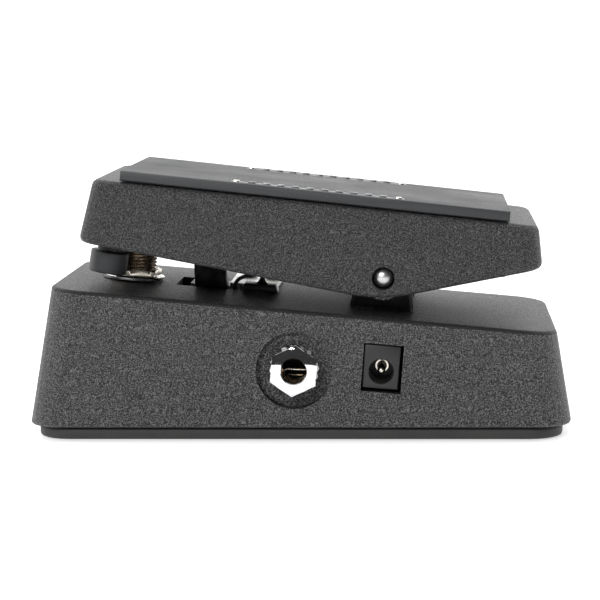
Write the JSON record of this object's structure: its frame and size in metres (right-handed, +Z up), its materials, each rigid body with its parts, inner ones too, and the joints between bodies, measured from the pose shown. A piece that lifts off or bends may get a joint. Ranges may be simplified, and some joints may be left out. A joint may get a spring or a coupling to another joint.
{
  "type": "rocker effects pedal",
  "caption": "Compact guitar effects pedal: a drafted cast casing under a hinged rocker treadle that turns a potentiometer through a gear sector, with a toe footswitch.",
  "frame": {"origin": "on the floor, under the middle of the casing", "axes": "+X from the toe end to the heel end, +Y from the output jack side to the input jack side, +Z up"},
  "size_m": [0.1364, 0.0738, 0.0672],
  "materials": {
    "powder_coat": "fine wrinkled charcoal powder coat on cast aluminium",
    "sole_rubber": "matte",
    "pad_rubber": "satin, fine lengthwise ribs",
    "strip_black": "satin",
    "black_plastic": "fine matte",
    "blackened_steel": "blackened",
    "zinc": "zinc plated",
    "chrome": "polished",
    "nickel": "nickel plated, slightly warm",
    "brass": "turned",
    "nylon": "natural nylon",
    "board_green": "solder mask",
    "red_enamel": "glossy enamel on a steel can",
    "blue_sleeve": "shrunk sleeve"
  },
  "bodies": {
    "base": {"casing": "powder_coat", "base_plate": "zinc", "sole": "sole_rubber", "hinge_bushing_1": "nylon", "hinge_bushing_2": "nylon", "pot_body": "zinc", "pot_bracket": "zinc", "pot_nut": "zinc", "footswitch_body": "black_plastic", "footswitch_inner_nut": "zinc", "footswitch_nut": "nickel", "footswitch_washer": "chrome", "dc_jack": "black_plastic", "dc_jack_pin": "nickel", "circuit_board": "board_green", "inductor": "red_enamel", "capacitor_1": "blue_sleeve", "capacitor_2": "blue_sleeve", "transistor_1": "black_plastic", "transistor_2": "black_plastic", "rack_guide": "nylon", "deck_plate": "zinc", "lead_clip": "black_plastic", "clip_lead": "black_plastic", "base_screw_1": "zinc", "base_screw_2": "zinc", "base_screw_3": "zinc", "base_screw_4": "zinc", "board_screw_1": "zinc", "board_screw_2": "zinc", "bracket_screw": "zinc", "deck_plate_screw_1": "zinc", "deck_plate_screw_2": "zinc", "output_jack_body": "black_plastic", "output_jack_contact": "nickel", "output_jack_nut": "chrome", "output_jack_washer": "zinc", "input_jack_body": "black_plastic", "input_jack_contact": "nickel", "input_jack_nut": "chrome", "input_jack_washer": "zinc"},
    "treadle": {"treadle": "powder_coat", "tread_pad": "pad_rubber", "pad_strip_1": "strip_black", "pad_strip_2": "strip_black", "hinge_axle": "chrome", "axle_ring_1": "blackened_steel", "axle_ring_2": "blackened_steel", "bumper_1": "sole_rubber", "bumper_2": "sole_rubber", "bumper_screw_1": "zinc", "bumper_screw_2": "zinc", "gear_sector": "blackened_steel", "sector_screw_1": "zinc", "sector_screw_2": "zinc", "switch_striker": "sole_rubber", "heel_stop": "sole_rubber"},
    "pinion": {"pinion_gear": "nylon", "pot_shaft": "brass"},
    "plunger": {"footswitch_plunger": "nickel"}
  },
  "joints": [
    {"name": "treadle_hinge", "type": "hinge", "parent": "base", "child": "treadle", "pos_m": [0.0215, 0, 0.04], "axis": [0, 1, 0], "range_deg": [-1.6, 16]},
    {"name": "pinion_spin", "type": "hinge", "parent": "base", "child": "pinion", "pos_m": [-0.02941, 0, 0.022], "axis": [0, 1, 0], "range_deg": [-190, 19.2]},
    {"name": "footswitch_press", "type": "slide", "parent": "base", "child": "plunger", "axis": [0.0918, 0, 0.9958], "range_m": [-0.002, 0], "stiffness_N_per_m": 1500, "springref_m": 0.001}
  ],
  "couplings": [
    {"joint": "pinion_spin", "follows": "treadle_hinge", "ratio": -11.857}
  ]
}
